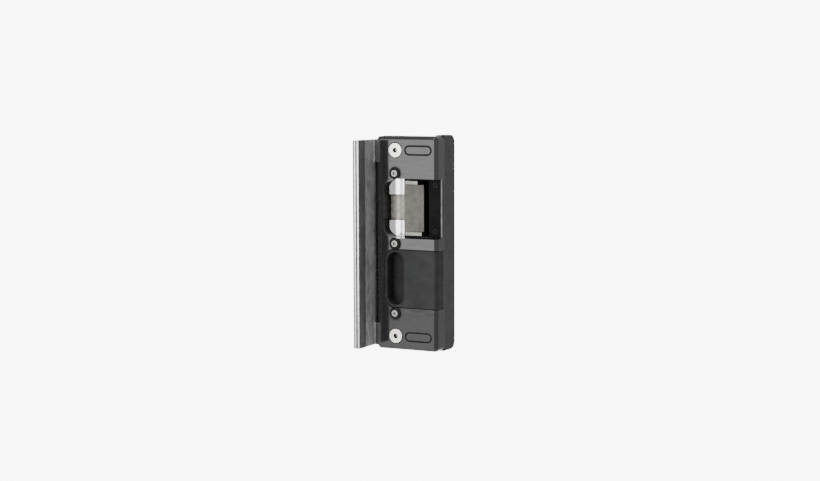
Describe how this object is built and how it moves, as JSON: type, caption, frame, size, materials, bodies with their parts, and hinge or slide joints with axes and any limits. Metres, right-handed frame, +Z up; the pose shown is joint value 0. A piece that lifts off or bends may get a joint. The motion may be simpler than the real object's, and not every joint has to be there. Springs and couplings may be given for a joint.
{
  "type": "electric door strike",
  "caption": "Electric strike keep for a square gate post, with a swinging jaw that a coil locks, a deadbolt slot, a side leg and a rubber faced door stop.",
  "frame": {"origin": "midway between the two fixing screws, on the plane where the housing meets the post's front face", "axes": "+Z up along the post, +Y into the post, +X towards the side of the post that the leg covers"},
  "size_m": [0.0644, 0.0665, 0.1786],
  "materials": {
    "gloss_black": "gloss black lacquer on a cast body",
    "satin_black": "fine satin black",
    "insert_black": "matte moulded black with a fine grain",
    "leg_black": "satin powder coat",
    "galvanised": "dull mottled zinc coat",
    "ribbed_aluminium": "extruded, lightly brushed along its length",
    "rubber": "soft matte rubber",
    "case_black": "glass filled plastic, satin",
    "nickel": "satin nickel plate",
    "polished_steel": "polished stainless",
    "yellow_zinc": "yellow passivated zinc",
    "blasted_steel": "bead blasted",
    "zinc": "bright zinc plate",
    "screw_steel": "bright stainless, turned",
    "screw_black": "black oxide",
    "strip_steel": "plain steel strip, dull",
    "dull_steel": "stainless with a dulled, turned face",
    "spring_steel": "drawn wire",
    "bobbin": "natural nylon",
    "copper": "enamelled copper wire",
    "terminal_green": "moulded plastic",
    "board_green": "solder mask",
    "diode_black": "moulded epoxy"
  },
  "bodies": {
    "root": {"front_housing": "gloss_black", "corner_leg": "leg_black", "stop_plate": "galvanised", "stop_edge": "ribbed_aluminium", "stop_bumper": "rubber", "stop_carrier": "satin_black", "deadbolt_insert": "insert_black", "upper_cover": "case_black", "lower_cover": "case_black", "module_case": "case_black", "strike_frame": "nickel", "upper_latch_guide": "polished_steel", "lower_latch_guide": "polished_steel", "latch_floor": "yellow_zinc", "wear_strip": "strip_steel", "solenoid_yoke": "zinc", "terminal_block": "terminal_green", "circuit_board": "board_green", "clamp_washers": "satin_black", "fixing_screws": "screw_steel", "module_screws": "dull_steel", "carrier_screws": "screw_black", "tab_screws": "screw_black", "edge_screws": "screw_steel", "leg_screws": "screw_steel", "case_screws": "screw_black", "flange_screws": "screw_black", "cover_screws": "screw_black", "yoke_screws": "screw_steel", "board_screws": "screw_steel", "terminal_screws": "screw_steel", "jaw_pin": "screw_steel", "lever_pin": "screw_steel", "solenoid_core": "zinc", "coil_bobbin": "bobbin", "coil_winding": "copper", "cable_grommet": "rubber", "suppressor_diode": "diode_black", "jaw_spring": "spring_steel", "plunger_spring": "spring_steel"},
    "jaw": {"jaw": "blasted_steel"},
    "plunger": {"plunger": "zinc", "plunger_pin": "screw_steel"},
    "lever": {"locking_lever": "yellow_zinc"}
  },
  "joints": [
    {"name": "jaw_swing", "type": "hinge", "parent": "root", "child": "jaw", "pos_m": [0.0109, 0, 0.0291], "axis": [0, 0, 1], "range_deg": [0, 88], "stiffness_Nm_per_rad": 0.02, "springref_deg": -22.92},
    {"name": "plunger_slide", "type": "slide", "parent": "root", "child": "plunger", "axis": [0, 0, 1], "range_m": [0, 0.00198], "stiffness_N_per_m": 250, "springref_m": -0.001, "deforming": ["plunger_spring"]},
    {"name": "lever_turn", "type": "hinge", "parent": "root", "child": "lever", "pos_m": [0.003, 0.0085, 0.0198], "axis": [0, 1, 0], "range_deg": [0, 19]}
  ],
  "couplings": [
    {"joint": "lever_turn", "follows": "plunger_slide", "rad_per_m": 166.67}
  ]
}
